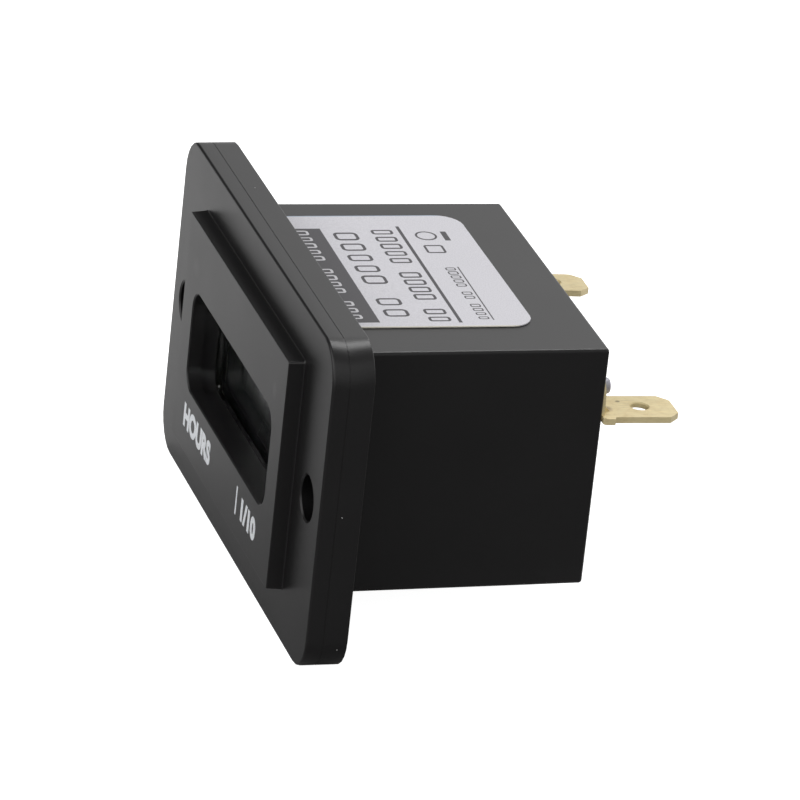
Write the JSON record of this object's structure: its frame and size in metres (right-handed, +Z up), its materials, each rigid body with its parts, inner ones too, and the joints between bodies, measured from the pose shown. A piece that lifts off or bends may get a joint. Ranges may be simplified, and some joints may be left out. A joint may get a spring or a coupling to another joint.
{
  "type": "panel hour meter",
  "caption": "Rectangular panel hour meter with a flanged bezel, raised display window, box-shaped rear body and riveted blade terminals.",
  "frame": {"origin": "on the flange's rear face, where it rests on the panel, at mid length and 2 mm above the flange's lower edge", "axes": "+X to the right as seen from the front, +Y back through the panel towards the terminals, +Z up"},
  "size_m": [0.053, 0.0386, 0.0319],
  "materials": {
    "black_plastic": "fine-grained moulded surface",
    "clear_lens": "clear, polished",
    "display_glass": "polished",
    "polarising_film": "smooth dark film",
    "white_plastic": "moulded",
    "striped_elastomer": "fine striped silicone",
    "board_laminate": "green solder resist",
    "black_resin": "moulded resin",
    "plated_steel": "dull plating",
    "yellow_capacitor_case": "moulded",
    "capacitor_sleeve": "shrunk sleeve",
    "resistor_body": "lacquered",
    "varistor_coat": "dipped coat",
    "brass": "stamped strip, slightly dulled",
    "label_paper": "printed film",
    "red_sleeve": "extruded insulation",
    "blue_sleeve": "extruded insulation"
  },
  "bodies": {
    "root": {"front_bezel": "black_plastic", "rear_case": "black_plastic", "window_lens": "clear_lens", "lcd_front_film": "polarising_film", "lcd_front_glass": "display_glass", "lcd_rear_glass": "display_glass", "lcd_rear_film": "polarising_film", "lcd_holder": "white_plastic", "upper_elastomer": "striped_elastomer", "lower_elastomer": "striped_elastomer", "display_board": "board_laminate", "power_board": "board_laminate", "controller_chip": "black_resin", "memory_chip": "black_resin", "quartz_crystal": "plated_steel", "dropper_capacitor": "yellow_capacitor_case", "bridge_rectifier": "black_resin", "smoothing_capacitor": "capacitor_sleeve", "fusible_resistor": "resistor_body", "surge_varistor": "varistor_coat", "board_header": "black_resin", "left_terminal": "brass", "right_terminal": "brass", "left_rivet": "plated_steel", "right_rivet": "plated_steel", "left_solder_lug": "brass", "right_solder_lug": "brass", "left_lead_wire": "blue_sleeve", "right_lead_wire": "red_sleeve", "rating_label": "label_paper"}
  },
  "joints": []
}
